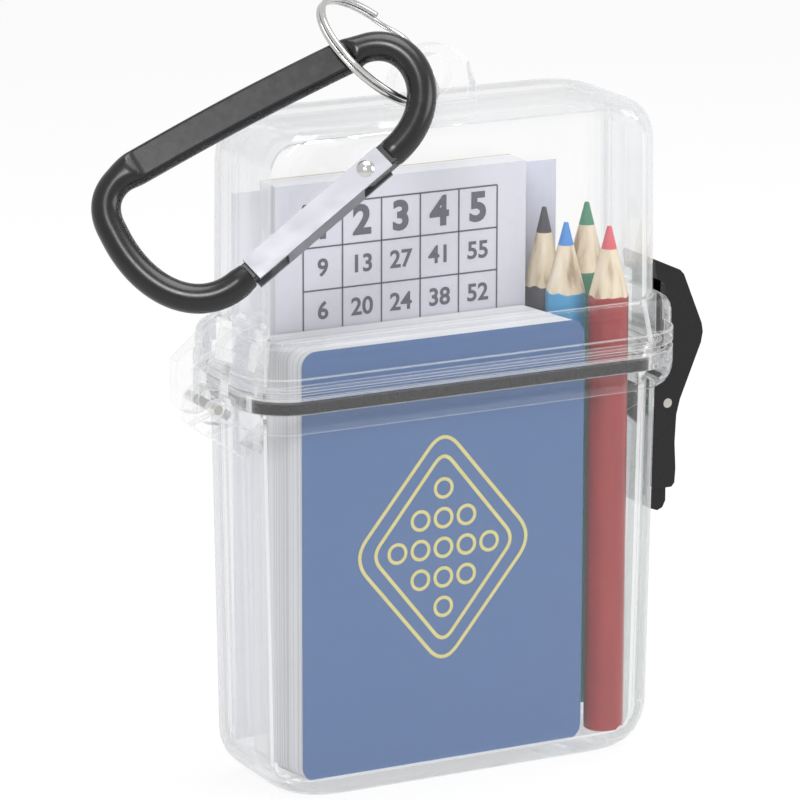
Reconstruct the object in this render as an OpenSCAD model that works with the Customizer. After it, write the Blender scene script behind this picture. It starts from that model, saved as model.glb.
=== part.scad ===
// Clear pocket case for a numbers game: hinged lid on a sealed base, a rocker latch,
// a deck of cards, a score pad, a rules sheet, four pencils, a split ring and a carabiner.
// Millimetres. The origin is the centre of the base's underside, +Z is up, and the deck
// faces -Y. The hinge is on the -X side and the latch on the +X side.

/* [Case] */
// Outer width of the base just under its rim
base_w = 91.1; // [90.6:0.1:91.4]
// Outer depth of the base
base_d = 31.7; // [31.4:0.1:32.0]
// How much narrower the base is at its foot
base_draft = 3.1; // [2:0.1:3.2]
// Wall thickness of both shells
wall = 2; // [1.8:0.1:2.1]
// Height of the closed case without its hanging tab
case_h = 136.4; // [136:0.2:138]
// Outer width of the lid above its flange
lid_w = 89.7; // [89.4:0.1:90]
// Outer depth of the lid above its flange
lid_d = 30.5; // [30.3:0.1:30.8]
// Radius of the upright corners
corner_r = 8; // [7:0.5:8]
// Radius of the shoulders seen from the front
shoulder_r = 9; // [7:0.5:9]
// Radius of the front and back edges
edge_r = 3; // [2:0.5:3.5]

/* [Rim and seal] */
// Outer width of the rim and of the lid's flange
rim_w = 98; // [97.8:0.1:98.2]
// Outer depth of the rim and of the lid's flange
rim_d = 38; // [37.8:0.1:38.4]
// Underside of the base's rim
rim_bottom = 76.4; // [76:0.1:77]
// Top of the base's rim
rim_top = 84.4; // [84.2:0.1:84.6]
// Underside of the lid's flange
flange_bottom = 85.7; // [85.5:0.1:86]
// Top of the lid's flange
flange_top = 94.8; // [94:0.1:95]
// Underside of the seal, which lies in the rim's channel
seal_z = 80.8; // [80.6:0.1:80.9]
// Height of the seal
seal_h = 2.3; // [2:0.1:2.3]

/* [Hinge] */
// Distance of the hinge pin from the middle of the case
hinge_x = 51.5; // [51.4:0.1:51.6]
// Height of the hinge pin
hinge_z = 80.8; // [80.7:0.1:80.9]
// Radius of the hinge pin
hinge_pin_r = 0.95; // [0.8:0.05:1]

/* [Latch] */
// Distance of the latch pin from the middle of the case
latch_x = 50.5; // [50.4:0.1:50.6]
// Height of the latch pin
latch_z = 70.1; // [70:0.1:70.3]
// Width of the latch lever
latch_w = 13.4; // [12.8:0.2:13.4]

/* [Contents] */
// Width of a playing card
card_w = 63.5; // [62:0.5:63.5]
// Height of a playing card
card_h = 88.9; // [87:0.1:88.9]
// Number of cards in the deck
card_count = 51; // [12:1:51]
// Width of the score pad
pad_w = 56.5; // [50:0.5:57]
// Height of the score pad
pad_h = 118.6; // [110:0.2:118.8]
// Diameter of a pencil
pencil_d = 8.2; // [7:0.1:8.2]
// Length of a pencil from its foot to its blunt tip
pencil_len = 106; // [100:0.2:107]

/* [Ring and carabiner] */
// Radius of the middle of the split ring's wire
ring_r = 14.3; // [14.2:0.1:14.4]
// Radius of the carabiner's round rod
rod_r = 2.9; // [2.7:0.1:2.9]
// Half height of the carabiner's pressed spine
spine_half = 3.5; // [3:0.1:3.6]

/* [Hidden] */

eps = 0.02;
inner_r = 5;
lid_inner_r = 3;
foot_w = base_w - base_draft;
lid_top_w = lid_w - 1.2;
card_t = 0.3;
card_pitch = 0.32;
card_skew = 0.06;
deck_front = -12.2;
deck_left = -35.9;
deck_foot = 2.82;
pad_foot = 3;
pad_left = -33.5;
pad_front = 4.5;
pad_t = 6.3;
backing_t = 0.8;
sheet_left = -39.4;
sheet_w = 73.6;
sheet_foot = 5.4;
sheet_h = 114;
sheet_y = 12.12;
channel_gap = 2;
floor_t = 2.8;
rim_round_top = 81.4;
arm_outer = 6.7;
arm_inner = 3.3;
arm_r = 3.1;
arm_left = -55.75;
arm_gap_x = -49.35;
lug_half = 3;
lug_r = 3.35;
gusset_half = 5.7;
pocket_r = 3.75;
pocket_end = -48.15;
latch_plate = 1.8;
latch_inner = latch_w / 2 - latch_plate;
recess_half = 7.4;
recess_x = 46.9;
tab_x = -1.3;
tab_z = 139.1;
tab_r = 9.4;
tab_t = 3.5;
hole_z = 142.3;
hole_r = 4.2;

// ---------- shared shapes ----------

// Rectangle with true round corners, centred on the origin
module rounded_rect(w, d, r) {
  square([w - 2 * r, d], center = true);
  square([w, d - 2 * r], center = true);
  for (sx = [-1, 1])
    for (sy = [-1, 1])
      translate([sx * (w / 2 - r), sy * (d / 2 - r)])
        circle(r, $fn = 48);
}

// Lower part of the base's rim, rounded from the wall out to the rim's full width
module rim_foot() {
  over = (rim_w - base_w) / 2 - 0.1;
  rise = rim_round_top - rim_bottom;
  hull()
    for (a = [0:18:90]) {
      inset = over * (1 - sin(a));
      slice(rim_w - 2 * inset, rim_d - 2 * inset, 11 - inset, rim_round_top - eps - rise * cos(a));
    }
}

// Four thin discs at one level: hull() around them makes a rounded slice
module slice(w, d, r, z) {
  for (sx = [-1, 1])
    for (sy = [-1, 1])
      translate([sx * (w / 2 - r), sy * (d / 2 - r), z])
        cylinder(h = eps, r = r, $fn = 32);
}

// How far a rounded edge of radius r has drawn in at distance h from its end
function draw_in(r, h) = h >= r ? 0 : r - sqrt(r * r - (r - h) * (r - h));

// Tub with rounded shoulders: w and d at its open end, end_w at its closed end
module tub(w, end_w, d, h, r, big_r, small_r) {
  steps = 7;
  hull() {
    slice(w, d, r, h - eps);
    for (i = [0:steps]) {
      a = 90 * i / steps;
      z = big_r * (1 - cos(a));
      wz = end_w + (w - end_w) * z / h - 2 * draw_in(big_r, z);
      dz = d - 2 * draw_in(small_r, z);
      slice(wz, dz, min(r, wz / 2, dz / 2 - 0.1), z);
    }
    for (z = [0.25, 0.8, 1.8])
      slice(end_w - 2 * draw_in(big_r, z), d - 2 * draw_in(small_r, z), r, z);
  }
}

// ---------- case ----------

module base_solid() {
  tub(base_w, foot_w, base_d, rim_top, corner_r, shoulder_r, edge_r);
}

module base_cavity() {
  translate([0, 0, floor_t])
    tub(base_w - 2 * wall, foot_w - 2 * wall, base_d - 2 * wall, rim_top,
        inner_r, inner_r, 1.5);
}

module rim_ring(w, d, r, z0, z1) {
  translate([0, 0, z0])
    linear_extrude(z1 - z0)
      rounded_rect(w, d, r);
}

// Plate of half width half_w across the case, drawn as seen from the front
module plate_y(half_w) {
  translate([0, half_w, 0])
    rotate([90, 0, 0])
      linear_extrude(2 * half_w)
        children();
}

// Lug between the lid's arms that carries the hinge pin, with a wider gusset under it
module hinge_lug() {
  plate_y(lug_half) {
    translate([-hinge_x, hinge_z])
      circle(lug_r, $fn = 48);
    polygon([[-hinge_x - lug_r, hinge_z], [-hinge_x - lug_r, 77], [-54.3, 76.1], [-44.9, 69.6],
             [-44.9, 79.8], [-48.2, 79.8], [-48.2, 83.6], [-hinge_x, hinge_z + lug_r]]);
  }
  plate_y(gusset_half)
    polygon([[-52.2, 75], [-44.9, 69.6], [-44.9, 77.4], [-48.4, 76.9], [-52.2, 75.6]]);
}

// Room in the rim's side for the round end of one of the lid's arms
module arm_pocket() {
  intersection() {
    rotate([90, 0, 0])
      translate([-hinge_x, hinge_z, 0])
        cylinder(h = arm_outer - arm_inner + 0.5, r = pocket_r, $fn = 48);
    translate([pocket_end - 10, -10, 70])
      cube([10, 20, 20]);
  }
}

// Lug that carries the latch pin
module latch_lug() {
  plate_y(4.4) {
    translate([latch_x, latch_z])
      circle(2.3, $fn = 48);
    polygon([[44.9, 65.4], [latch_x, latch_z - 2.3], [latch_x, latch_z + 2.3], [44.9, 74]]);
  }
}

module bore_y(x, z, r, half) {
  translate([x, half, z])
    rotate([90, 0, 0])
      cylinder(h = 2 * half, r = r, $fn = 48);
}

module base_shell() {
  color([0.93, 0.95, 0.96, 0.4])
    difference() {
      union() {
        difference() {
          union() {
            base_solid();
            rim_foot();
            rim_ring(rim_w, rim_d, 11, rim_round_top - 0.1, rim_top);
          }
          difference() {
            rim_ring(base_w + 2 * channel_gap, base_d + 2 * channel_gap, 10, seal_z, rim_top + 1);
            rim_ring(base_w, base_d, corner_r, seal_z - 1, rim_top + 2);
          }
          for (y = [arm_outer + 0.25, -arm_inner + 0.25])
            translate([0, y, 0])
              arm_pocket();
        }
        hinge_lug();
        latch_lug();
      }
      base_cavity();
      bore_y(-hinge_x, hinge_z, hinge_pin_r, lug_half + 1);
      bore_y(latch_x, latch_z, 1.05, 6);
    }
}

module gasket() {
  color([0.15, 0.14, 0.15])
    difference() {
      rim_ring(base_w + 2 * channel_gap - 0.06, base_d + 2 * channel_gap - 0.06, 9.97,
               seal_z, seal_z + seal_h);
      rim_ring(base_w + 0.1, base_d + 0.1, corner_r, seal_z - 1, seal_z + seal_h + 1);
    }
}

// Flange of the lid: a lower band, then a rounded shoulder
module lid_flange() {
  rim_ring(rim_w, rim_d, 11, flange_bottom, flange_bottom + 2.6);
  hull() {
    slice(rim_w - 0.8, rim_d - 0.8, 10.6, flange_bottom + 1);
    for (a = [0:22.5:90])
      slice(rim_w - 0.8 - 2 * edge_r * (1 - cos(a)), rim_d - 0.8 - 2 * edge_r * (1 - cos(a)),
            10.6 - edge_r * (1 - cos(a)), flange_top - edge_r + edge_r * sin(a) - eps);
  }
}

// One of the two solid arms that reach over the rim and hang on the pin
module hinge_arm() {
  rotate([90, 0, 0])
    linear_extrude(arm_outer - arm_inner) {
      translate([-hinge_x, hinge_z])
        circle(arm_r, $fn = 64);
      translate([arm_left + arm_r, hinge_z + 0.2])
        circle(arm_r, $fn = 64);
      polygon([[arm_left, hinge_z + 0.2], [arm_left, 88.8], [-48.9, 94.7], [-46, 96.4],
               [-44, 96.9], [-44, 88], [-48.4, 85.9], [arm_gap_x, 85.9], [arm_gap_x, hinge_z]]);
    }
}

module hanging_tab() {
  translate([0, tab_t / 2, 0])
    rotate([90, 0, 0])
      linear_extrude(tab_t) {
        translate([tab_x, tab_z])
          circle(tab_r, $fn = 64);
        translate([tab_x - tab_r, case_h - wall / 2])
          square([2 * tab_r, tab_z - case_h + wall / 2]);
      }
}

module lid_solid() {
  lid_h = case_h - flange_bottom;
  translate([0, 0, case_h])
    mirror([0, 0, 1])
      tub(lid_w, lid_top_w, lid_d, lid_h - 1, corner_r - 0.5, shoulder_r, edge_r);
}

module lid_cavity() {
  lid_h = case_h - flange_bottom;
  translate([0, 0, case_h - wall])
    mirror([0, 0, 1])
      tub(lid_w - 2 * wall, lid_top_w - 2 * wall, lid_d - 2 * wall, lid_h, lid_inner_r,
          shoulder_r - wall, 1.5);
  hull() {
    slice(88, 28.6, lid_inner_r, flange_bottom - 1);
    slice(lid_w - 2 * wall, lid_d - 2 * wall, lid_inner_r, 93);
  }
}

// Rib under the flange that presses on the seal
module seal_rib() {
  difference() {
    rim_ring(base_w + 2.1, base_d + 2.1, 9.05, seal_z + seal_h + 0.2, flange_bottom + 1);
    rim_ring(base_w + 0.7, base_d + 0.7, 8.35, seal_z, flange_bottom + 2);
  }
}

module lid_shell() {
  color([0.93, 0.95, 0.96, 0.4])
    difference() {
      union() {
        lid_solid();
        lid_flange();
        seal_rib();
        for (y = [arm_outer, -arm_inner])
          translate([0, y, 0])
            hinge_arm();
        hanging_tab();
      }
      lid_cavity();
      bore_y(-hinge_x, hinge_z, hinge_pin_r + 0.06, arm_outer + 1);
      bore_y(tab_x, hole_z, hole_r, tab_t);
      translate([recess_x, -recess_half, flange_bottom - 3])
        cube([4, 2 * recess_half, flange_top - flange_bottom + 4]);
    }
}

module hinge_pin() {
  color("silver")
    bore_y(-hinge_x, hinge_z, hinge_pin_r, arm_outer);
}

// ---------- latch ----------

// Side view of the lever
module lever_outline() {
  polygon([[47, 99.9], [47.5, 100.5], [53, 98], [53.9, 97], [58.3, 86.2], [58.6, 84.4],
           [58.2, 82.2], [53.4, 70.6], [52.6, 67.4], [52.3, 61.5], [52.6, 56], [52.4, 52.9],
           [51.7, 52.1], [51.3, 52.1], [51.3, 48.8], [50.6, 47.4], [49.4, 46.9], [47.5, 47.6],
           [47.4, 52.1], [46.9, 53], [46.9, 75.2], [49.4, 76], [49.4, 95.6], [47.6, 96.6]]);
}

// Space between the side plates: it leaves the outer web and the nose
module lever_pocket() {
  polygon([[48.2, 98.4], [52.2, 96.8], [56.6, 86], [56.8, 84.4], [56.4, 82.8], [53.6, 75.6],
           [54.2, 75], [54.2, 66], [50.8, 65.2], [50.5, 61.5], [50.7, 56], [50.6, 53.9],
           [46, 53.9], [46, 96], [48.7, 96.2]]);
}

module latch_lever() {
  color([0.2, 0.2, 0.21])
    difference() {
      translate([0, latch_w / 2, 0])
        rotate([90, 0, 0])
          linear_extrude(latch_w)
            lever_outline();
      translate([0, latch_inner, 0])
        rotate([90, 0, 0])
          linear_extrude(2 * latch_inner)
            lever_pocket();
      for (side = [-1, 1])
        translate([47, side * 7.4 - 2.4, 46])
          cube([5, 4.8, 6.1]);
      bore_y(latch_x, latch_z, 1, latch_w);
    }
}

module latch_pin() {
  color("silver")
    bore_y(latch_x, latch_z, 1, latch_w / 2);
}

// ---------- contents ----------

// One card of the deck: each stands behind the last and a little to its left
module card(i) {
  translate([deck_left - i * card_skew + card_w / 2, deck_front + i * card_pitch + card_t,
             deck_foot + card_h / 2])
    rotate([90, 0, 0])
      linear_extrude(card_t)
        rounded_rect(card_w, card_h, 3.2);
}

module top_card() {
  color([0.42, 0.53, 0.7])
    card(0);
}

module card_deck() {
  color([0.9, 0.9, 0.92])
    for (i = [1:card_count - 1])
      card(i);
}

module score_pad() {
  color([0.87, 0.87, 0.91])
    translate([pad_left, pad_front, pad_foot])
      cube([pad_w, pad_t, pad_h]);
}

module pad_backing() {
  color([0.7, 0.66, 0.6])
    translate([pad_left, pad_front + pad_t + eps, pad_foot])
      cube([pad_w, backing_t, pad_h]);
}

module rules_sheet() {
  color([0.82, 0.82, 0.89])
    translate([sheet_left, sheet_y, sheet_foot])
      cube([sheet_w, 0.2, sheet_h]);
}

// Foot of each pencil: x, y, z
red_at = [35, -8.75, 3.4];
blue_at = [29.75, -0.25, 3];
green_at = [37.1, 4.3, 5.6];
black_at = [29.2, 8, 4.6];
core_r = 1.6;
tip_r = 0.45;
cone_len = 14.5;
black_cone_len = 16.4;

// Side view of half a sharpened pencil, from its axis outwards
module pencil_outline(cone) {
  polygon([[0, 0], [pencil_d / 2, 0], [pencil_d / 2, pencil_len - cone],
           [tip_r, pencil_len], [0, pencil_len]]);
}

module pencil_casing(at, cone, tint) {
  color(tint)
    translate(at)
      rotate_extrude($fn = 48)
        difference() {
          pencil_outline(cone);
          translate([-1, -1])
            square([1 + core_r, pencil_len + 2]);
        }
}

module pencil_core(at, cone, tint) {
  color(tint)
    translate(at)
      rotate_extrude($fn = 48)
        intersection() {
          pencil_outline(cone);
          square([core_r, pencil_len + 2]);
        }
}

// ---------- split ring ----------

ring_at = [-14.9, -3.7, 148.5];
ring_turn = [38.5, -16.5, 63];
wire_radial = 0.6;
wire_axial = 0.5;
layer = 0.53;
wire_sides = 10;
wire_steps = 76;
wire_start = 3;
wire_end = 687;

// The wire's layer at an angle: it steps down once, where the other turn is open
function layer_z(a) = a < 332 ? layer : a > 358 ? -layer : layer * cos(180 * (a - 332) / 26);

function wire_ring(a) = [for (k = [0:wire_sides - 1])
  let (b = 360 * k / wire_sides, r = ring_r + wire_radial * cos(b))
  [r * cos(a), r * sin(a), layer_z(a) - wire_axial * sin(b)]];

// Faces of a tube of rings, with flat ends
function tube_faces(rings, sides) = concat(
  [[for (k = [0:sides - 1]) k]],
  [for (i = [0:rings - 2], k = [0:sides - 1])
    let (n = (k + 1) % sides)
    [i * sides + k, (i + 1) * sides + k, (i + 1) * sides + n, i * sides + n]],
  [[for (k = [sides - 1:-1:0]) (rings - 1) * sides + k]]);

module split_ring() {
  points = [for (i = [0:wire_steps])
    each wire_ring(wire_start + (wire_end - wire_start) * i / wire_steps)];
  color([0.8, 0.8, 0.79])
    translate(ring_at)
      rotate(ring_turn)
        polyhedron(points, tube_faces(wire_steps + 1, wire_sides));
}

// ---------- carabiner ----------
// Drawn flat: x along the spine, y across the window, z through the thickness.

clip_at = [-11, -20.8, 142.8];
clip_turn = [54.5, -25, -11.5];
spine_y = 15.3;
spine_thick = 2;
gate_angle = 12.9;
limb_at = [-13.2, -6.3];
limb_dir = [-cos(gate_angle), -sin(gate_angle)];
limb_side = [-sin(gate_angle), cos(gate_angle)];
tongue_len = 9;
neck_start = 32.6;
nose_at = limb_at + 39.6 * limb_dir;

function bezier(p, t) = pow(1 - t, 3) * p[0] + 3 * pow(1 - t, 2) * t * p[1]
  + 3 * (1 - t) * t * t * p[2] + pow(t, 3) * p[3];

hinge_bend = [limb_at, [2.4, -2.6], [2.6, spine_y], [-9.5, spine_y]];
top_bend = [[-57.5, spine_y], [-64.8, spine_y], [-68, 11.6], [-68, 5.8]];
nose_bend = [[-68, 5.8], [-69, -8], nose_at + 10 * limb_dir, nose_at];

// Middle line of the rod, from the gate's hinge round to the nose
rod_path = concat(
  [limb_at + 1.2 * limb_dir],
  [for (i = [0:12]) bezier(hinge_bend, i / 12)],
  [for (i = [1:7]) [-9.5 - 48 * i / 8, spine_y + 0.5 * sin(180 * i / 8)]],
  [for (i = [0:6]) bezier(top_bend, i / 6)],
  [for (i = [1:12]) bezier(nose_bend, i / 12)],
  [nose_at - 2.4 * limb_dir]);
rod_rings = len(rod_path);
rod_sides = 16;

// How far the rod is pressed flat at x: 0 round, 1 flat
function ease(t) = t <= 0 ? 0 : t >= 1 ? 1 : t * t * (3 - 2 * t);
function pressed(p) = p[1] < 9 ? 0 : min(ease((-7.5 - p[0]) / 4), ease((p[0] + 63) / 5));

function unit(v) = v / norm(v);
function rod_dir(i) = unit(rod_path[min(i + 1, rod_rings - 1)] - rod_path[max(i - 1, 0)]);

// Power of the section's rounded square: 1 is an ellipse, less is squarer
function signed_pow(v, e) = sign(v) * pow(abs(v), e);

function rod_ring(i) =
  let (p = rod_path[i], d = rod_dir(i), f = pressed(p), e = 1 - 0.62 * f,
       across = rod_r + (spine_half - rod_r) * f, through = rod_r + (spine_thick - rod_r) * f)
  [for (k = [0:rod_sides - 1])
    let (b = 360 * k / rod_sides + 11.25, s = across * signed_pow(cos(b), e))
    [p[0] - d[1] * s, p[1] + d[0] * s, through * signed_pow(sin(b), e)]];

module clip_pose() {
  translate(clip_at)
    rotate(clip_turn)
      children();
}

// Frame of the gate: x runs from the rod's end to the nose, y into the window
module gate_pose() {
  clip_pose()
    translate([limb_at[0], limb_at[1], 0])
      rotate([0, 0, gate_angle])
        mirror([1, 0, 0])
          children();
}

rivet_x = 6.7;
rivet_y = 0.2;
rivet_r = 0.9;
cheek_low = -2.75;
cheek_high = 2.3;
gate_start = 2.4;
gate_end = 36.5;
gate_half = 3;
sheet_t = 0.8;
web_start = 9.6;
web_end = 29.2;

module carabiner_frame() {
  points = [for (i = [0:rod_rings - 1]) each rod_ring(i)];
  color([0.17, 0.17, 0.19])
    difference() {
      union() {
        clip_pose()
          polyhedron(points, tube_faces(rod_rings, rod_sides));
        gate_pose() {
          translate([0.6, -2.4, -2])
            cube([tongue_len - 0.6 - 2.4, 4.8, 4]);
          translate([tongue_len - 2.4, 0, -2])
            cylinder(h = 4, r = 2.4, $fn = 32);
          translate([neck_start, -1.8, -2])
            cube([39 - neck_start, 3.8, 4]);
        }
      }
      gate_pose()
        translate([rivet_x, rivet_y, -5])
          cylinder(h = 10, r = rivet_r, $fn = 32);
    }
}

module carabiner_gate() {
  color([0.82, 0.82, 0.84])
    gate_pose()
      difference() {
        union() {
          for (z = [-gate_half, gate_half - sheet_t])
            translate([gate_start, cheek_low, z])
              cube([gate_end - gate_start, cheek_high - cheek_low, sheet_t]);
          translate([web_start, cheek_low, -gate_half])
            cube([web_end - web_start, sheet_t, 2 * gate_half]);
        }
        translate([rivet_x, rivet_y, -5])
          cylinder(h = 10, r = rivet_r + 0.05, $fn = 32);
      }
}

module gate_rivet() {
  color([0.8, 0.8, 0.8])
    gate_pose()
      translate([rivet_x, rivet_y, 0]) {
        translate([0, 0, -gate_half - 0.3])
          cylinder(h = 2 * gate_half + 0.6, r = rivet_r, $fn = 32);
        for (side = [-1, 1])
          mirror([0, 0, side < 0 ? 1 : 0])
            translate([0, 0, gate_half + 0.05])
              rotate_extrude($fn = 32)
                intersection() {
                  translate([0, -1.6])
                    circle(2.35, $fn = 48);
                  square([3, 1]);
                }
      }
}

module gate_spring() {
  color([0.75, 0.75, 0.75])
    gate_pose()
      translate([web_start + 0.3, cheek_low + sheet_t, -1.5])
        cube([12, 0.3, 3]);
}

base_shell();
lid_shell();
gasket();
hinge_pin();
latch_lever();
latch_pin();
top_card();
card_deck();
score_pad();
pad_backing();
rules_sheet();
pencil_casing(red_at, cone_len, [0.7, 0.3, 0.31]);  // pencil_red_casing
pencil_core(red_at, cone_len, [0.8, 0.3, 0.35]);  // pencil_red_core
pencil_casing(blue_at, cone_len, [0.25, 0.6, 0.8]);  // pencil_blue_casing
pencil_core(blue_at, cone_len, [0.2, 0.5, 0.8]);  // pencil_blue_core
pencil_casing(green_at, cone_len, [0.27, 0.6, 0.4]);  // pencil_green_casing
pencil_core(green_at, cone_len, [0.2, 0.5, 0.35]);  // pencil_green_core
pencil_casing(black_at, black_cone_len, [0.3, 0.3, 0.3]);  // pencil_black_casing
pencil_core(black_at, black_cone_len, [0.25, 0.25, 0.3]);  // pencil_black_core
split_ring();
carabiner_frame();
carabiner_gate();
gate_rivet();
gate_spring();
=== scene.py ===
import math

import bmesh
import bpy
from mathutils import Euler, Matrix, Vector


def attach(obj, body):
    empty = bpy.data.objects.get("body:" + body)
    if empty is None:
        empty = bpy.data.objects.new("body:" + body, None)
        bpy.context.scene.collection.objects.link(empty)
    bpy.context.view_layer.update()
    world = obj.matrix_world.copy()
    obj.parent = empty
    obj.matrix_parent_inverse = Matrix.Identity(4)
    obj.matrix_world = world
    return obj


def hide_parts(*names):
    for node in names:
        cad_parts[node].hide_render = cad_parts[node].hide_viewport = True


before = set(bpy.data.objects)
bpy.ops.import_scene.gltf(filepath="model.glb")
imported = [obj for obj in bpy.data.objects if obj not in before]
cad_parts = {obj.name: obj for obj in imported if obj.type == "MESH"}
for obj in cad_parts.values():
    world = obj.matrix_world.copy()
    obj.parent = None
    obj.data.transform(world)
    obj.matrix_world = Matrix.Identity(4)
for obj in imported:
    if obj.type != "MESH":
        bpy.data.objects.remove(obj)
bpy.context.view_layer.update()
MM = 0.001


# ---------- materials ----------

def new_material(name):
    mat = bpy.data.materials.new(name)
    mat.use_nodes = True
    nt = mat.node_tree
    nt.nodes.clear()
    out = nt.nodes.new("ShaderNodeOutputMaterial")
    return mat, nt, out


def srgb(r, g, b):
    def lin(v):
        v /= 255
        return v / 12.92 if v <= 0.04045 else ((v + 0.055) / 1.055) ** 2.4
    return (lin(r), lin(g), lin(b), 1)


def node(nt, kind, **values):
    n = nt.nodes.new(kind)
    for key, value in values.items():
        setattr(n, key, value)
    return n


def noise(nt, scale, detail=3, stretch=(1, 1, 1)):
    coord = node(nt, "ShaderNodeTexCoord")
    mapping = node(nt, "ShaderNodeMapping")
    mapping.inputs["Scale"].default_value = stretch
    tex = node(nt, "ShaderNodeTexNoise")
    tex.inputs["Scale"].default_value = scale
    tex.inputs["Detail"].default_value = detail
    nt.links.new(coord.outputs["Object"], mapping.inputs["Vector"])
    nt.links.new(mapping.outputs["Vector"], tex.inputs["Vector"])
    return tex.outputs["Fac"]


def ramp(nt, fac, stops):
    r = node(nt, "ShaderNodeValToRGB")
    nt.links.new(fac, r.inputs["Fac"])
    while len(r.color_ramp.elements) < len(stops):
        r.color_ramp.elements.new(0.5)
    for element, (pos, colour) in zip(r.color_ramp.elements, stops):
        element.position = pos
        element.color = colour
    return r.outputs["Color"]


def shade(colour, factor):
    return (colour[0] * factor, colour[1] * factor, colour[2] * factor, 1)


def grey(value):
    return (value, value, value, 1)


def combine(nt, operation, first, second, **values):
    """Math node fed by two sockets."""
    n = node(nt, "ShaderNodeMath", operation=operation, **values)
    nt.links.new(first, n.inputs[0])
    nt.links.new(second, n.inputs[1])
    return n.outputs[0]


def mix_shaders(nt, share, first, second):
    """Mix of two shader sockets. share is the second one's part, a socket or a number."""
    mix = node(nt, "ShaderNodeMixShader")
    if isinstance(share, float):
        mix.inputs["Fac"].default_value = share
    else:
        nt.links.new(share, mix.inputs["Fac"])
    nt.links.new(first, mix.inputs[1])
    nt.links.new(second, mix.inputs[2])
    return mix.outputs["Shader"]


def relief(nt, height, strength, depth, normal):
    """Bump of depth mm, led into a shader's normal input."""
    b = node(nt, "ShaderNodeBump")
    b.inputs["Strength"].default_value = strength
    b.inputs["Distance"].default_value = depth * MM
    nt.links.new(height, b.inputs["Height"])
    nt.links.new(b.outputs["Normal"], normal)


def object_axis(nt, axis):
    coord = node(nt, "ShaderNodeTexCoord")
    split = node(nt, "ShaderNodeSeparateXYZ")
    nt.links.new(coord.outputs["Object"], split.inputs[0])
    return split.outputs[axis]


def seen_directly(nt):
    """1 for camera, glossy and transmission rays, 0 for the others."""
    path = node(nt, "ShaderNodeLightPath")
    first = combine(nt, "MAXIMUM", path.outputs["Is Camera Ray"], path.outputs["Is Glossy Ray"])
    return combine(nt, "MAXIMUM", first, path.outputs["Is Transmission Ray"])


FINE_RELIEF = 0.05


def surface(name, colour, rough=0.5, spread=0.08, scale=300, stretch=(1, 1, 1), bump=0.05,
            metallic=0.0, specular=0.5, rough_spread=0.08):
    """Plain surface whose colour, roughness and height vary finely."""
    mat, nt, out = new_material(name)
    p = node(nt, "ShaderNodeBsdfPrincipled")
    fac = noise(nt, scale, stretch=stretch)
    nt.links.new(ramp(nt, fac, [(0.3, shade(colour, 1 - spread)), (0.7, shade(colour, 1 + spread))]),
                 p.inputs["Base Color"])
    lo, hi = max(rough - rough_spread, 0.02), min(rough + rough_spread, 1)
    nt.links.new(ramp(nt, fac, [(0.3, grey(lo)), (0.7, grey(hi))]), p.inputs["Roughness"])
    p.inputs["Metallic"].default_value = metallic
    p.inputs["Specular IOR Level"].default_value = specular
    relief(nt, fac, bump, FINE_RELIEF, p.inputs["Normal"])
    nt.links.new(p.outputs["BSDF"], out.inputs["Surface"])
    return mat


PLASTIC_IOR = 1.45
INNER_GLOSS = 0.7
FACING_BLEND = 0.35
EDGE_ROUND = 0.5
# White of the haze; on sharp edges it paints a highlight
HAZE_AND_HIGHLIGHT_WHITE = (0.95, 0.955, 0.96, 1)
GLOSS_WHITE = (0.98, 0.985, 0.99, 1)
GRAZING_TINT = (0.58, 0.6, 0.62, 1)


def wall_gloss(nt):
    gloss = node(nt, "ShaderNodeBsdfGlossy")
    gloss.inputs["Color"].default_value = GLOSS_WHITE
    nt.links.new(ramp(nt, noise(nt, 90, detail=2), [(0.35, grey(0.03)), (0.75, grey(0.1))]),
                 gloss.inputs["Roughness"])
    relief(nt, noise(nt, 60, detail=2), 0.15, 0.2, gloss.inputs["Normal"])
    return gloss.outputs["BSDF"]


def gloss_share(nt, backfacing):
    """Fresnel's share, times INNER_GLOSS on faces met from inside the plastic."""
    fresnel = node(nt, "ShaderNodeFresnel")
    fresnel.inputs["IOR"].default_value = PLASTIC_IOR
    side = node(nt, "ShaderNodeMapRange")
    side.inputs["To Min"].default_value = 1
    side.inputs["To Max"].default_value = INNER_GLOSS
    nt.links.new(backfacing, side.inputs["Value"])
    return combine(nt, "MULTIPLY", fresnel.outputs[0], side.outputs[0])


def wall_haze(nt):
    """White haze, half of it scattered back and half let through. On sharp edges the same white is a painted
    highlight.
    """
    front = node(nt, "ShaderNodeBsdfDiffuse")
    front.inputs["Color"].default_value = HAZE_AND_HIGHLIGHT_WHITE
    back = node(nt, "ShaderNodeBsdfTranslucent")
    back.inputs["Color"].default_value = HAZE_AND_HIGHLIGHT_WHITE
    return mix_shaders(nt, 0.5, front.outputs["BSDF"], back.outputs["BSDF"])


def haze_share(nt, facing, shape):
    """Haze grows towards grazing angles. On sharp edges, where a rounded normal turns away, it is a painted
    highlight.
    """
    veil = ramp(nt, facing, [(0.0, grey(0.01)), (0.6, grey(0.035)), (1.0, grey(0.6))])
    rounded = node(nt, "ShaderNodeBevel", samples=4)
    rounded.inputs["Radius"].default_value = EDGE_ROUND * MM
    turn = node(nt, "ShaderNodeVectorMath", operation="DOT_PRODUCT")
    nt.links.new(rounded.outputs["Normal"], turn.inputs[0])
    nt.links.new(shape.outputs["Normal"], turn.inputs[1])
    # Painted highlight: white haze laid on sharp edges, where the rounded normal turns away
    edge = ramp(nt, turn.outputs["Value"], [(0.75, grey(0.8)), (0.96, grey(0.1)), (1.0, grey(0))])
    return combine(nt, "ADD", veil, edge, use_clamp=True)


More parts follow.
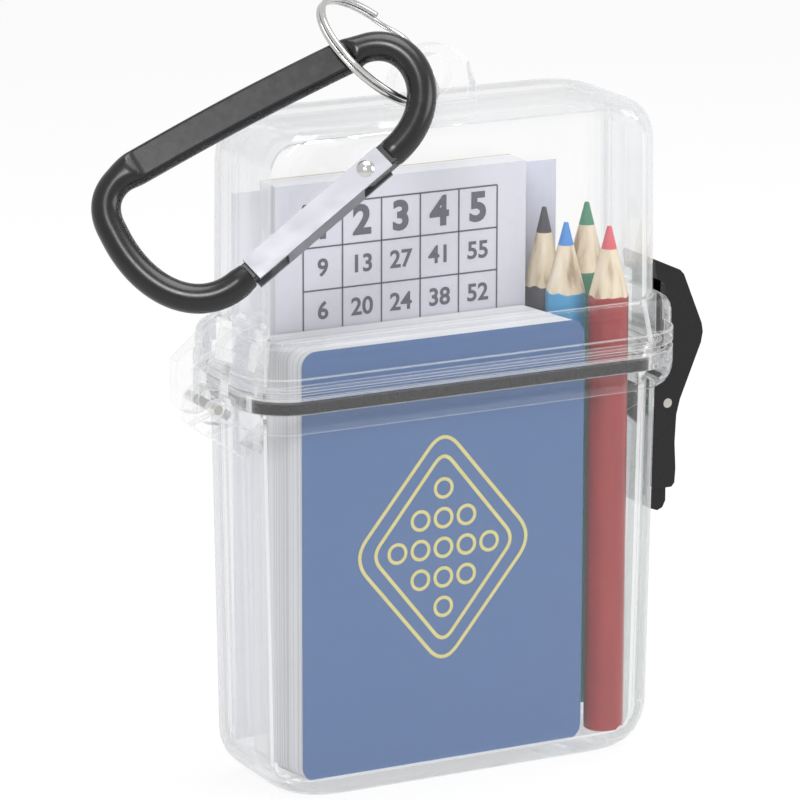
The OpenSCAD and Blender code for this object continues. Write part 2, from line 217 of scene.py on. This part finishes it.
def clear_plastic(name):
    """Moulded clear plastic: sight goes straight through its walls without bending. Faces met from
    inside the plastic still reflect totally, at INNER_GLOSS strength, which whitens the walls when
    they are seen steeply from above. Shadow and diffuse rays pass as if the plastic weren't there."""
    mat, nt, out = new_material(name)
    weight = node(nt, "ShaderNodeLayerWeight")
    weight.inputs["Blend"].default_value = FACING_BLEND
    facing = weight.outputs["Facing"]
    shape = node(nt, "ShaderNodeNewGeometry")
    through = node(nt, "ShaderNodeBsdfTransparent")
    nt.links.new(ramp(nt, facing, [(0.0, grey(0.998)), (0.7, grey(0.97)), (1.0, GRAZING_TINT)]),
                 through.inputs["Color"])
    share = gloss_share(nt, shape.outputs["Backfacing"])
    shiny = mix_shaders(nt, share, through.outputs["BSDF"], wall_gloss(nt))
    # Slight white haze over the walls, with a painted highlight of the same white on sharp edges
    milky_and_highlit = mix_shaders(nt, haze_share(nt, facing, shape), shiny, wall_haze(nt))
    unseen = node(nt, "ShaderNodeBsdfTransparent")
    path = node(nt, "ShaderNodeLightPath")
    lighting = combine(nt, "MAXIMUM", path.outputs["Is Shadow Ray"], path.outputs["Is Diffuse Ray"])
    whole = mix_shaders(nt, lighting, milky_and_highlit, unseen.outputs["BSDF"])
    nt.links.new(whole, out.inputs["Surface"])
    return mat


def leaves(name, colour, pitch, low, rough):
    """Stacked cards or leaves: each edge across Y has its own slight shade."""
    mat, nt, out = new_material(name)
    p = node(nt, "ShaderNodeBsdfPrincipled")
    count = node(nt, "ShaderNodeMath", operation="DIVIDE")
    count.inputs[1].default_value = pitch * MM
    whole = node(nt, "ShaderNodeMath", operation="FLOOR")
    pick = node(nt, "ShaderNodeTexWhiteNoise", noise_dimensions="1D")
    nt.links.new(object_axis(nt, "Y"), count.inputs[0])
    nt.links.new(count.outputs[0], whole.inputs[0])
    nt.links.new(whole.outputs[0], pick.inputs["W"])
    nt.links.new(ramp(nt, pick.outputs["Value"], [(0.1, shade(colour, low)), (0.6, colour)]),
                 p.inputs["Base Color"])
    nt.links.new(ramp(nt, noise(nt, 700), [(0.3, grey(rough - 0.08)), (0.7, grey(rough + 0.08))]),
                 p.inputs["Roughness"])
    nt.links.new(p.outputs["BSDF"], out.inputs["Surface"])
    return mat


PAINT_WAVE = 1.6
WAVE_OFFSET = 1.1


def pencil_paint(name, paint, edge_z):
    """Painted barrel with bare wood above edge_z, where the paint ends in a wavy line."""
    mat, nt, out = new_material(name)
    p = node(nt, "ShaderNodeBsdfPrincipled")
    grain = noise(nt, 420, detail=6, stretch=(1, 1, 0.07))
    wood = ramp(nt, grain, [(0.34, srgb(158, 136, 110)), (0.45, srgb(202, 186, 160)),
                            (0.7, srgb(222, 210, 190))])
    coat = ramp(nt, noise(nt, 240, stretch=(1, 1, 0.2)),
                [(0.3, shade(paint, 0.9)), (0.7, shade(paint, 1.1))])
    wave = node(nt, "ShaderNodeMath", operation="MULTIPLY_ADD")
    wave.inputs[1].default_value = PAINT_WAVE * MM
    nt.links.new(noise(nt, 420, detail=1, stretch=(1, 1, 0)), wave.inputs[0])
    nt.links.new(object_axis(nt, "Z"), wave.inputs[2])
    cut = node(nt, "ShaderNodeMath", operation="GREATER_THAN")
    cut.inputs[1].default_value = (edge_z + WAVE_OFFSET) * MM
    nt.links.new(wave.outputs[0], cut.inputs[0])
    mix = node(nt, "ShaderNodeMix", data_type="RGBA")
    nt.links.new(cut.outputs[0], mix.inputs["Factor"])
    nt.links.new(coat, mix.inputs["A"])
    nt.links.new(wood, mix.inputs["B"])
    nt.links.new(mix.outputs["Result"], p.inputs["Base Color"])
    nt.links.new(ramp(nt, cut.outputs[0], [(0, grey(0.28)), (1, grey(0.75))]), p.inputs["Roughness"])
    relief(nt, grain, 0.25, FINE_RELIEF, p.inputs["Normal"])
    nt.links.new(p.outputs["BSDF"], out.inputs["Surface"])
    return mat


CLEAR = clear_plastic("clear_plastic")
RUBBER = surface("seal_rubber", srgb(10, 9, 11), 0.3, 0.05, 500, bump=0.01, specular=0.35)
STEEL = surface("pin_steel", srgb(190, 186, 180), 0.35, 0.06, 900, metallic=0.9)
LATCH = surface("latch_plastic", srgb(14, 14, 17), 0.3, 0.05, 700, bump=0.1, specular=0.35)
CARD_BLUE = surface("card_blue", srgb(62, 95, 142), 0.38, 0.02, 900, bump=0.01)
CARD_EDGE = leaves("card_stock", srgb(208, 210, 213), 0.32, 0.78, 0.4)
PAPER = surface("pad_paper", srgb(198, 198, 208), 0.85, 0.02, 700, bump=0.1)
PAD_EDGE = leaves("pad_leaves", srgb(206, 207, 212), 0.14, 0.8, 0.85)
BOARD = surface("backing_board", srgb(180, 170, 152), 0.9, 0.1, 500, bump=0.2)
SHEET = surface("sheet_paper", srgb(196, 198, 214), 0.85, 0.03, 500, bump=0.1)
INK = surface("print_ink", srgb(72, 72, 86), 0.7, 0.05, 800)
LINE = surface("line_ink", srgb(196, 188, 118), 0.45, 0.05, 800)
CHROME = surface("ring_steel", srgb(205, 205, 203), 0.16, 0.04, 900, metallic=1.0)
ANODISED = surface("black_anodised", srgb(14, 14, 17), 0.26, 0.04, 600, bump=0.02, rough_spread=0.03)
GATE = surface("gate_steel", srgb(140, 140, 145), 0.4, 0.05, 300, stretch=(0.05, 1, 1), metallic=0.9)
SPRING = surface("spring_steel", srgb(185, 185, 185), 0.3, 0.06, 900, metallic=1.0)
CASINGS = {
    "red": pencil_paint("red_paint", srgb(140, 14, 16), 94.9),
    "blue": pencil_paint("blue_paint", srgb(40, 146, 196), 94.5),
    "green": pencil_paint("green_paint", srgb(36, 116, 84), 97.1),
    "black": pencil_paint("black_paint", srgb(48, 46, 56), 94.2),
}
CORES = {
    "red": surface("red_core", srgb(196, 76, 88), 0.55, 0.06, 600),
    "blue": surface("blue_core", srgb(52, 124, 196), 0.55, 0.06, 600),
    "green": surface("green_core", srgb(48, 120, 88), 0.55, 0.06, 600),
    "black": surface("black_core", srgb(40, 38, 48), 0.5, 0.08, 600),
}


# ---------- pieces ----------

def mark_sharp(bm, angle):
    for e in bm.edges:
        if len(e.link_faces) == 2 and e.calc_face_angle(0) > math.radians(angle):
            e.smooth = False


def soften(o, width, angle):
    """Rounds edges that turn by more than angle; width in mm."""
    b = o.modifiers.new("bevel", "BEVEL")
    b.width = width * MM
    b.segments = 3
    b.limit_method = "ANGLE"
    b.angle_limit = math.radians(angle)
    b.use_clamp_overlap = True


def dress(name, mat, bevel=0.0, angle=35):
    """Gives a CAD node its material, softened edges and smooth shading."""
    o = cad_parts[name]
    o.data.materials.clear()
    o.data.materials.append(mat)
    for poly in o.data.polygons:
        poly.use_smooth = True
    if bevel:
        soften(o, bevel, angle)
    bm = bmesh.new()
    bm.from_mesh(o.data)
    mark_sharp(bm, angle)
    bm.to_mesh(o.data)
    bm.free()
    return o


def finish_piece(o, mat, body, smooth=True):
    o.data.materials.clear()
    o.data.materials.append(mat)
    if smooth:
        for poly in o.data.polygons:
            poly.use_smooth = True
    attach(o, body)
    return o


def mesh_object(name, verts, faces):
    me = bpy.data.meshes.new(name)
    me.from_pydata(verts, [], faces)
    me.update()
    o = bpy.data.objects.new(name, me)
    bpy.context.scene.collection.objects.link(o)
    return o


def tube(rings, sides):
    """Closed skin over rings that each have the same number of points."""
    verts = [p for ring in rings for p in ring]
    faces = []
    for i in range(len(rings) - 1):
        for k in range(sides):
            n = (k + 1) % sides
            faces.append((i * sides + k, (i + 1) * sides + k, (i + 1) * sides + n, i * sides + n))
    last = (len(rings) - 1) * sides
    faces.append(tuple(range(sides))[::-1])
    faces.append(tuple(last + k for k in range(sides)))
    return verts, faces


dress("base_shell", CLEAR)
dress("lid_shell", CLEAR)
dress("gasket", RUBBER, 0.6, 60)
dress("hinge_pin", STEEL)
dress("latch_pin", STEEL)
dress("latch_lever", LATCH, 0.35)
dress("top_card", CARD_BLUE)
dress("card_deck", CARD_EDGE)
pad = dress("score_pad", PAPER)
pad.data.materials.append(PAD_EDGE)
for poly in pad.data.polygons:
    if abs(poly.normal.y) < 0.5:
        poly.material_index = 1
dress("pad_backing", BOARD)
dress("rules_sheet", SHEET)
for colour in CASINGS:
    dress(f"pencil_{colour}_casing", CASINGS[colour], angle=40)
    dress(f"pencil_{colour}_core", CORES[colour])
dress("carabiner_gate", GATE, 0.25)
dress("gate_rivet", CHROME)
dress("gate_spring", SPRING)

# Split ring: nearly two turns of slightly squared wire that step past each other (angles in degrees)
RING_AT = Vector((-14.9, -3.7, 148.5)) * MM
RING_R = 14.3
WIRE_HALF_R, WIRE_HALF_H = 0.6, 0.5
RING_LAYER = 0.53
STEP_FROM, STEP_TO = 332, 358
WIRE_START, WIRE_SWEEP = 3, 684
WIRE_SQUARED = 0.8
RING_TURN = Euler([math.radians(v) for v in (38.5, -16.5, 63)], "XYZ").to_matrix()


def ring_layer(a):
    """Height of the wire's middle: upper turn, then a smooth step down to the lower one."""
    if a < STEP_FROM:
        return RING_LAYER
    if a > STEP_TO:
        return -RING_LAYER
    return RING_LAYER * math.cos(math.pi * (a - STEP_FROM) / (STEP_TO - STEP_FROM))


def split_ring():
    steps, sides = 300, 20
    rings = []
    for i in range(steps + 1):
        a = WIRE_START + WIRE_SWEEP * i / steps
        ring = []
        for k in range(sides):
            b = 2 * math.pi * k / sides
            cb, sb = math.cos(b), math.sin(b)
            r = RING_R + WIRE_HALF_R * math.copysign(abs(cb) ** WIRE_SQUARED, cb)
            z = ring_layer(a) + WIRE_HALF_H * math.copysign(abs(sb) ** WIRE_SQUARED, sb)
            t = math.radians(a)
            ring.append(RING_AT + RING_TURN @ (Vector((r * math.cos(t), r * math.sin(t), z)) * MM))
        rings.append(ring)
    o = mesh_object("split_ring_wire", *tube(rings, sides))
    bm = bmesh.new()
    bm.from_mesh(o.data)
    bmesh.ops.recalc_face_normals(bm, faces=bm.faces)
    bm.to_mesh(o.data)
    bm.free()
    finish_piece(o, CHROME, "ring")
    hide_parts("split_ring")


split_ring()

# Carabiner frame: a round rod, pressed flat along the spine, with a tongue and a nose in the gate
CLIP_AT = Vector((-11, -20.8, 142.8)) * MM
CLIP_TURN = Euler([math.radians(v) for v in (54.5, -25, -11.5)], "XYZ").to_matrix()
GATE_ANGLE = math.radians(12.9)
LIMB = Vector((-13.2, -6.3))
LIMB_DIR = Vector((-math.cos(GATE_ANGLE), -math.sin(GATE_ANGLE)))
LIMB_SIDE = Vector((-math.sin(GATE_ANGLE), math.cos(GATE_ANGLE)))
GATE_LENGTH = 39.6
NOSE = LIMB + GATE_LENGTH * LIMB_DIR
SPINE_Y = 15.3
SPINE_START, SPINE_END = -9.5, -57.5
SPINE_BOW = 0.5
SPINE_SIDE = 9
HINGE_TAIL, NOSE_TAIL = 1.2, 2.4
NOSE_PULL = 10
WIDE_FROM, WIDE_TO = -7.5, -63
WIDE_BLEND_FROM, WIDE_BLEND_TO = 4, 5
FLAT_FROM, FLAT_TO, FLAT_BLEND = -9.4, -59.4, 1.6
SQUARED_OFF = 0.3
ROD_R = 2.9
SPINE_WIDEN = 0.6
SPINE_FLATTEN = 0.88
END_INSET = 0.35


def clip_point(x, y, z):
    return CLIP_AT + CLIP_TURN @ (Vector((x, y, z)) * MM)


def gate_point(x, y, z):
    """x runs from the rod's end to the nose, y into the window, z through the thickness."""
    p = LIMB + x * LIMB_DIR + y * LIMB_SIDE
    return clip_point(p.x, p.y, z)


def bezier(p, t):
    a, b, c, d = (Vector(v) for v in p)
    return a * (1 - t) ** 3 + b * 3 * (1 - t) ** 2 * t + c * 3 * (1 - t) * t * t + d * t ** 3


def rod_path():
    spine = SPINE_END - SPINE_START
    hinge = [LIMB, (2.4, -2.6), (2.6, SPINE_Y), (SPINE_START, SPINE_Y)]
    top = [(SPINE_END, SPINE_Y), (-64.8, SPINE_Y), (-68, 11.6), (-68, 5.8)]
    nose = [(-68, 5.8), (-69, -8), NOSE + NOSE_PULL * LIMB_DIR, NOSE]
    points = [LIMB + HINGE_TAIL * LIMB_DIR]
    points += [bezier(hinge, i / 60) for i in range(61)]
    points += [Vector((SPINE_START + spine * i / 90, SPINE_Y + SPINE_BOW * math.sin(math.pi * i / 90)))
               for i in range(1, 90)]
    points += [bezier(top, i / 30) for i in range(31)]
    points += [bezier(nose, i / 60) for i in range(1, 61)]
    points.append(NOSE - NOSE_TAIL * LIMB_DIR)
    return points


def smooth_step(t):
    t = min(max(t, 0), 1)
    return t * t * (3 - 2 * t)


def clip_rod():
    path, sides = rod_path(), 48
    rings = []
    for i, p in enumerate(path):
        d = (path[min(i + 1, len(path) - 1)] - path[max(i - 1, 0)]).normalized()
        wide = 0
        flat = 0
        if p.y > SPINE_SIDE:
            wide = min(smooth_step((WIDE_FROM - p.x) / WIDE_BLEND_FROM),
                       smooth_step((p.x - WIDE_TO) / WIDE_BLEND_TO))
            flat = min(smooth_step((FLAT_FROM - p.x) / FLAT_BLEND),
                       smooth_step((p.x - FLAT_TO) / FLAT_BLEND))
        across = ROD_R + SPINE_WIDEN * wide
        level = ROD_R - SPINE_FLATTEN * flat
        end = min(i, len(path) - 1 - i)
        shrink = 1 - (END_INSET if end == 0 else 0.0) / ROD_R
        ring = []
        for k in range(sides):
            b = 2 * math.pi * k / sides
            s = across * math.copysign(abs(math.cos(b)) ** (1 - SQUARED_OFF * wide), math.cos(b))
            z = ROD_R * math.sin(b)
            z = math.copysign(min(abs(z), level), z)
            ring.append(clip_point(p.x - d.y * s * shrink, p.y + d.x * s * shrink, z * shrink))
        rings.append(ring)
    return tube(rings, sides)


def block(x0, x1, y0, y1, z0, z1):
    corners = [gate_point(x, y, z) for x in (x0, x1) for y in (y0, y1) for z in (z0, z1)]
    faces = [(0, 1, 3, 2), (4, 6, 7, 5), (0, 4, 5, 1), (2, 3, 7, 6), (0, 2, 6, 4), (1, 5, 7, 3)]
    return corners, faces


TONGUE_R = 2.4
TONGUE_START, TONGUE_CENTRE = 0.4, 6.6
TONGUE_HALF = 2
CATCH_START, CATCH_END = 32.6, 39
CATCH_LOW, CATCH_HIGH = -1.8, 2


def rounded_tongue():
    """Tongue at the rod's end that stands inside the gate, rounded to a half circle."""
    sides = 24
    outline = [(TONGUE_START, -TONGUE_R), (TONGUE_START, TONGUE_R)]
    for k in range(sides + 1):
        a = math.pi * k / sides
        outline.append((TONGUE_CENTRE + TONGUE_R * math.sin(a), TONGUE_R * math.cos(a)))
    n = len(outline)
    verts = [gate_point(x, y, z) for z in (-TONGUE_HALF, TONGUE_HALF) for x, y in outline]
    faces = [tuple(range(n)), tuple(range(n, 2 * n))[::-1]]
    faces += [(k, (k + 1) % n, n + (k + 1) % n, n + k) for k in range(n)]
    return verts, faces


def clip_frame():
    verts, faces = [], []
    catch = block(CATCH_START, CATCH_END, CATCH_LOW, CATCH_HIGH, -TONGUE_HALF, TONGUE_HALF)
    for v, f in (clip_rod(), rounded_tongue(), catch):
        base = len(verts)
        verts += v
        faces += [tuple(base + k for k in face) for face in f]
    o = mesh_object("clip_frame", verts, faces)
    bm = bmesh.new()
    bm.from_mesh(o.data)
    bmesh.ops.recalc_face_normals(bm, faces=bm.faces)
    mark_sharp(bm, 32)
    bm.to_mesh(o.data)
    bm.free()
    finish_piece(o, ANODISED, "clip")
    soften(o, 0.25, 30)
    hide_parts("carabiner_frame")


clip_frame()


# ---------- printing ----------

def strip(points, width, y, closed=False):
    """Flat ribbon along points (x, z in mm) at depth y, facing -Y."""
    verts, faces = [], []
    n = len(points)
    for i in range(n):
        before = points[(i - 1) % n] if closed or i else points[i]
        after = points[(i + 1) % n] if closed or i < n - 1 else points[i]
        dx, dz = after[0] - before[0], after[1] - before[1]
        size = math.hypot(dx, dz) or 1
        nx, nz = -dz / size * width / 2, dx / size * width / 2
        x, z = points[i]
        verts += [(x + nx, y, z + nz), (x - nx, y, z - nz)]
    for i in range(n if closed else n - 1):
        a, b = 2 * i, 2 * ((i + 1) % n)
        faces.append((a, a + 1, b + 1, b))
    return verts, faces


def joined(name, parts, mat, body):
    """One flat printed piece made of several parts in mm."""
    verts, faces = [], []
    for v, f in parts:
        base = len(verts)
        verts += [Vector(p) * MM for p in v]
        faces += [tuple(base + k for k in face) for face in f]
    o = mesh_object(name, verts, faces)
    return finish_piece(o, mat, body, smooth=False)


def circle_points(x, z, r, n=40):
    return [(x + r * math.cos(2 * math.pi * k / n), z + r * math.sin(2 * math.pi * k / n))
            for k in range(n)]


def rounded_diamond(x, z, half_w, half_h, cut):
    points = []
    corners = [(1, 0), (0, 1), (-1, 0), (0, -1)]
    for i in range(4):
        c = Vector(corners[i])
        before = Vector(corners[i - 1])
        after = Vector(corners[(i + 1) % 4])
        a = c + (before - c) * cut
        b = c + (after - c) * cut
        for k in range(9):
            t = k / 8
            p = a * (1 - t) ** 2 + c * 2 * t * (1 - t) + b * t * t
            points.append((x + p.x * half_w, z + p.y * half_h))
    return points


CARD_X, CARD_Z, CARD_Y = -4.4, 48, -12.26
# Half width, half height and how much of each side the rounded corner takes
OUTER_DIAMOND = (20.5, 25, 0.16)
INNER_DIAMOND = (16.2, 20.2, 0.12)
DIAMOND_LINE, CIRCLE_LINE = 0.75, 0.7
CIRCLE_R = 1.9
CIRCLE_STEP_X, CIRCLE_STEP_Z = 5.2, 6.2


def card_art():
    """Two diamonds around rows of circles, drawn as closed lines and not filled."""
    parts = []
    for half_w, half_h, cut in (OUTER_DIAMOND, INNER_DIAMOND):
        outline = rounded_diamond(CARD_X, CARD_Z, half_w, half_h, cut)
        parts.append(strip(outline, DIAMOND_LINE, CARD_Y, True))
    for row in range(-2, 3):
        for col in range(-2, 3):
            if abs(row) + abs(col) <= 2:
                circle = circle_points(CARD_X + col * CIRCLE_STEP_X, CARD_Z + row * CIRCLE_STEP_Z, CIRCLE_R)
                parts.append(strip(circle, CIRCLE_LINE, CARD_Y, True))
    joined("card_art", parts, LINE, "case")


PAD_Y = 4.44
GRID_LEFT = -27.4
GRID_TOP = 117.2
COL, ROW = 8.75, 8.79
PAD_COLS, PAD_ROWS = 5, 6
GRID_LINE = 0.34
HEAD_SIZE, HEAD_BOLD = 8.2, 0.32
CELL_SIZE, CELL_BOLD = 5.0, 0.12


def pad_number(text, x, z, size, bold, index):
    curve = bpy.data.curves.new(f"pad_text_{index}", "FONT")
    curve.body = text
    curve.size = size * MM
    curve.align_x = "CENTER"
    curve.align_y = "CENTER"
    curve.offset = bold * MM
    curve.resolution_u = 4
    o = bpy.data.objects.new(f"pad_text_{index}", curve)
    bpy.context.scene.collection.objects.link(o)
    bpy.context.view_layer.update()
    me = bpy.data.meshes.new_from_object(o)
    bpy.data.objects.remove(o)
    verts = [(v.co.x / MM + x, PAD_Y, v.co.y / MM + z) for v in me.vertices]
    faces = [tuple(p.vertices) for p in me.polygons]
    return verts, faces


def cell_value(c, r):
    """Plain number for a cell: the columns climb by elevens, the rows jump about."""
    return 11 * (c + 1) + (7 * r + 3 * c) % 10 - 9


def pad_print():
    parts = []
    right = GRID_LEFT + PAD_COLS * COL
    for r in range(PAD_ROWS + 1):
        z = GRID_TOP - r * ROW
        parts.append(strip([(GRID_LEFT, z), (right, z)], GRID_LINE, PAD_Y))
    for c in range(PAD_COLS + 1):
        x = GRID_LEFT + c * COL
        parts.append(strip([(x, GRID_TOP), (x, GRID_TOP - PAD_ROWS * ROW)], GRID_LINE, PAD_Y))
    index = 0
    for c in range(PAD_COLS):
        x = GRID_LEFT + (c + 0.5) * COL
        parts.append(pad_number(str(c + 1), x, GRID_TOP - 0.5 * ROW, HEAD_SIZE, HEAD_BOLD, index))
        index += 1
        for r in range(1, PAD_ROWS):
            z = GRID_TOP - (r + 0.5) * ROW
            parts.append(pad_number(str(cell_value(c, r)), x, z, CELL_SIZE, CELL_BOLD, index))
            index += 1
    joined("pad_print", parts, INK, "case")


card_art()
pad_print()


# ---------- room, light and camera ----------

LIGHTS_AIM = Vector((0, 0, 0.07))
SEEN_GLOW = 0.82
FLOOR_HALF = 3
FLOOR_Z = -0.0005
FLOOR_WHITE = (0.9, 0.9, 0.9, 1)
WORLD_LIGHTING, WORLD_SEEN = 0.7, 1.0


def light(name, at, size, power):
    lamp = bpy.data.lights.new(name, "AREA")
    lamp.shape = "SQUARE"
    lamp.size = size
    lamp.energy = power
    o = bpy.data.objects.new(name, lamp)
    bpy.context.scene.collection.objects.link(o)
    o.location = at
    o.rotation_euler = (LIGHTS_AIM - Vector(at)).to_track_quat("-Z", "Y").to_euler()


def white_seen(name, colour):
    """Plain surface that glows nearly white for the camera and for reflections."""
    mat, nt, out = new_material(name)
    diffuse = node(nt, "ShaderNodeBsdfDiffuse")
    diffuse.inputs["Color"].default_value = colour
    glow = node(nt, "ShaderNodeEmission")
    glow.inputs["Color"].default_value = grey(1)
    share = node(nt, "ShaderNodeMath", operation="MULTIPLY")
    share.inputs[1].default_value = SEEN_GLOW
    nt.links.new(seen_directly(nt), share.inputs[0])
    nt.links.new(mix_shaders(nt, share.outputs[0], diffuse.outputs[0], glow.outputs[0]),
                 out.inputs["Surface"])
    return mat


def white_world():
    """World that lights the object less than it shows to the camera and in reflections."""
    world = bpy.data.worlds.new("world")
    bpy.context.scene.world = world
    world.use_nodes = True
    nt = world.node_tree
    nt.nodes.clear()
    out = node(nt, "ShaderNodeOutputWorld")
    lighting = node(nt, "ShaderNodeBackground")
    lighting.inputs["Strength"].default_value = WORLD_LIGHTING
    seen = node(nt, "ShaderNodeBackground")
    seen.inputs["Strength"].default_value = WORLD_SEEN
    nt.links.new(mix_shaders(nt, seen_directly(nt), lighting.outputs[0], seen.outputs[0]),
                 out.inputs["Surface"])


corners = [(-1, -1), (1, -1), (1, 1), (-1, 1)]
floor = mesh_object("floor", [(x * FLOOR_HALF, y * FLOOR_HALF, FLOOR_Z) for x, y in corners], [(0, 1, 2, 3)])
floor.data.materials.append(white_seen("floor_white", FLOOR_WHITE))
white_world()

light("key", (-0.7, -0.9, 1.0), size=0.4, power=9)
light("fill", (0.9, -0.7, 0.6), size=0.6, power=4)
light("above", (0.1, 0, 0.95), size=0.6, power=5)

# The camera was fitted to the photo together with the case's size
CAMERA_AT = Vector((-0.4601, -0.8752, 0.3361))
CAMERA_AIM = Vector((-0.00797, 0, 0.07615))
CAMERA_ROLL = math.radians(0.12)
cam_data = bpy.data.cameras.new("camera")
cam = bpy.data.objects.new("camera", cam_data)
bpy.context.scene.collection.objects.link(cam)
bpy.context.scene.camera = cam
cam.location = CAMERA_AT
look = (CAMERA_AIM - cam.location).to_track_quat("-Z", "Y")
cam.rotation_mode = "QUATERNION"
cam.rotation_quaternion = look @ Euler((0, 0, CAMERA_ROLL)).to_quaternion()
cam_data.lens = 227.8
cam_data.sensor_width = 36
cam_data.clip_start = 0.05
cam_data.clip_end = 20

bpy.context.scene.view_settings.view_transform = "Standard"
bpy.context.scene.cycles.max_bounces = 20
bpy.context.scene.cycles.glossy_bounces = 10
bpy.context.scene.cycles.transmission_bounces = 20
bpy.context.scene.cycles.transparent_max_bounces = 64
